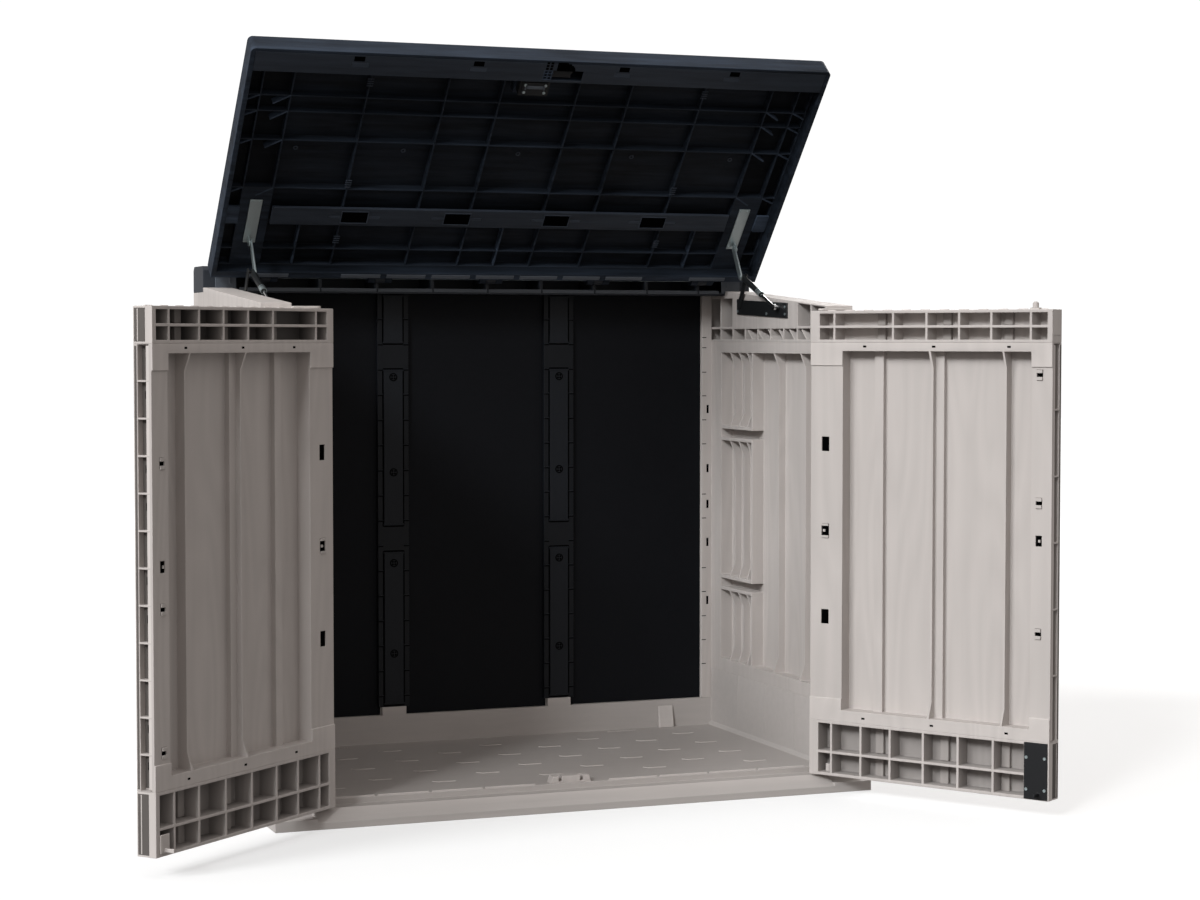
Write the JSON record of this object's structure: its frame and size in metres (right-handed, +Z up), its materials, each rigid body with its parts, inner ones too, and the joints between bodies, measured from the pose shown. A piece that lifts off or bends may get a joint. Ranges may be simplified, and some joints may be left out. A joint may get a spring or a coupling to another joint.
{
  "type": "garden storage box",
  "caption": "Moulded resin garden store with ribbed double front doors, a lift-up lid on knee stays with gas springs, and a ramped sill, shown open",
  "frame": {"origin": "centre of the flat underside of the base, on the ground", "axes": "X to the right seen from the front, Y to the back, Z up"},
  "size_m": [2.0516, 1.3137, 1.7599],
  "materials": {
    "resin_taupe": "fine moulded wood-grain texture, warm grey",
    "resin_floor": "moulded warm grey floor with anti-slip texture",
    "resin_lid": "anthracite moulded resin",
    "resin_dark": "anthracite moulded resin",
    "resin_back": "near-black moulded sheet",
    "resin_black": "black moulded fitting",
    "steel_zinc": "zinc-plated steel",
    "steel_bright": "bright piston rod",
    "steel_black": "black-painted steel"
  },
  "bodies": {
    "carcass": {"back_panel_centre": "resin_back", "back_panel_left": "resin_back", "back_panel_right": "resin_back", "back_stile_left": "resin_back", "back_stile_right": "resin_back", "base_tray": "resin_floor", "front_post_left": "resin_taupe", "front_post_right": "resin_taupe", "header_end_left": "resin_dark", "header_end_right": "resin_dark", "lid_hinge_rod": "steel_zinc", "rear_header": "resin_dark", "side_band_left": "resin_taupe", "side_band_right": "resin_taupe", "side_panel_left": "resin_taupe", "side_panel_right": "resin_taupe", "sill_strike": "resin_taupe", "stay_plate_left": "steel_black", "stay_plate_right": "steel_black", "stay_plate_screws": "steel_zinc"},
    "lid": {"lid_cross_beam": "resin_lid", "lid_front_strip": "resin_lid", "lid_lock_body": "resin_black", "lid_lock_plate": "resin_black", "lid_lock_screws": "steel_zinc", "lid_shell": "resin_lid", "lid_stay_plate_left": "steel_zinc", "lid_stay_plate_right": "steel_zinc", "lid_stay_screws": "steel_zinc"},
    "lever": {"latch_lever": "resin_black"},
    "door_left": {"door_left_bottom_band": "resin_taupe", "door_left_foot": "resin_taupe", "door_left_hinge_pins": "steel_zinc", "door_left_panel": "resin_taupe", "door_left_top_band": "resin_taupe"},
    "door_right": {"door_right_bolt_plate": "resin_black", "door_right_bolt_screws": "steel_zinc", "door_right_bottom_band": "resin_taupe", "door_right_edge_plate": "resin_taupe", "door_right_edge_screws": "steel_zinc", "door_right_hinge_pins": "steel_zinc", "door_right_panel": "resin_taupe", "door_right_top_band": "resin_taupe", "door_right_top_pin": "resin_taupe"},
    "lower_arm_left": {"stay_lower_arm_left": "steel_black"},
    "upper_link_left": {"stay_upper_link_left": "steel_zinc"},
    "cylinder_left": {"stay_cylinder_left": "steel_black"},
    "rod_left": {"stay_rod_left": "steel_bright"},
    "lower_arm_right": {"stay_lower_arm_right": "steel_black"},
    "upper_link_right": {"stay_upper_link_right": "steel_zinc"},
    "cylinder_right": {"stay_cylinder_right": "steel_black"},
    "rod_right": {"stay_rod_right": "steel_bright"}
  },
  "joints": [
    {"name": "lid_hinge", "type": "hinge", "parent": "carcass", "child": "lid", "pos_m": [0, 0.2805, 1.2317], "axis": [1, 0, 0], "range_deg": [0, 52.5]},
    {"name": "lever_turn", "type": "hinge", "parent": "lid", "child": "lever", "pos_m": [0.004, -0.16846, 1.70168], "axis": [0, 0.7461, 0.6659], "range_deg": [-20, 0]},
    {"name": "door_left_hinge", "type": "hinge", "parent": "carcass", "child": "door_left", "pos_m": [-0.617, -0.364, 0.6], "axis": [0, 0, 1], "range_deg": [0, 139.63]},
    {"name": "door_right_hinge", "type": "hinge", "parent": "carcass", "child": "door_right", "pos_m": [0.617, -0.364, 0.6], "axis": [0, 0, 1], "range_deg": [-123.09, 16.5]},
    {"name": "arm_left_turn", "type": "hinge", "parent": "carcass", "child": "lower_arm_left", "pos_m": [-0.645, 0.1925, 1.166], "axis": [1, 0, 0], "range_deg": [0, 74.99]},
    {"name": "link_left_turn", "type": "hinge", "parent": "lid", "child": "upper_link_left", "pos_m": [-0.634, 0.18966, 1.30945], "axis": [1, 0, 0], "range_deg": [-62.53, 0]},
    {"name": "spring_left_turn", "type": "hinge", "parent": "lower_arm_left", "child": "cylinder_left", "pos_m": [-0.645, 0.1495, 1.238], "axis": [1, 0, 0], "range_deg": [-102.82, 0]},
    {"name": "spring_left_slide", "type": "slide", "parent": "cylinder_left", "child": "rod_left", "axis": [0, -0.9245, -0.3812], "range_m": [-0.0531, 0]},
    {"name": "arm_right_turn", "type": "hinge", "parent": "carcass", "child": "lower_arm_right", "pos_m": [0.645, 0.1925, 1.166], "axis": [1, 0, 0], "range_deg": [0, 74.99]},
    {"name": "link_right_turn", "type": "hinge", "parent": "lid", "child": "upper_link_right", "pos_m": [0.634, 0.18966, 1.30945], "axis": [1, 0, 0], "range_deg": [-62.53, 0]},
    {"name": "spring_right_turn", "type": "hinge", "parent": "lower_arm_right", "child": "cylinder_right", "pos_m": [0.645, 0.1495, 1.238], "axis": [1, 0, 0], "range_deg": [-102.82, 0]},
    {"name": "spring_right_slide", "type": "slide", "parent": "cylinder_right", "child": "rod_right", "axis": [0, -0.9245, -0.3812], "range_m": [-0.0531, 0]}
  ],
  "couplings": [
    {"joint": "arm_left_turn", "follows": "lid_hinge", "ratio": 1.4242},
    {"joint": "link_left_turn", "follows": "lid_hinge", "ratio": -1.1875},
    {"joint": "spring_left_turn", "follows": "lid_hinge", "ratio": -1.9526},
    {"joint": "spring_left_slide", "follows": "lid_hinge", "m_per_rad": -0.057772},
    {"joint": "arm_right_turn", "follows": "lid_hinge", "ratio": 1.4242},
    {"joint": "link_right_turn", "follows": "lid_hinge", "ratio": -1.1875},
    {"joint": "spring_right_turn", "follows": "lid_hinge", "ratio": -1.9526},
    {"joint": "spring_right_slide", "follows": "lid_hinge", "m_per_rad": -0.057772}
  ]
}
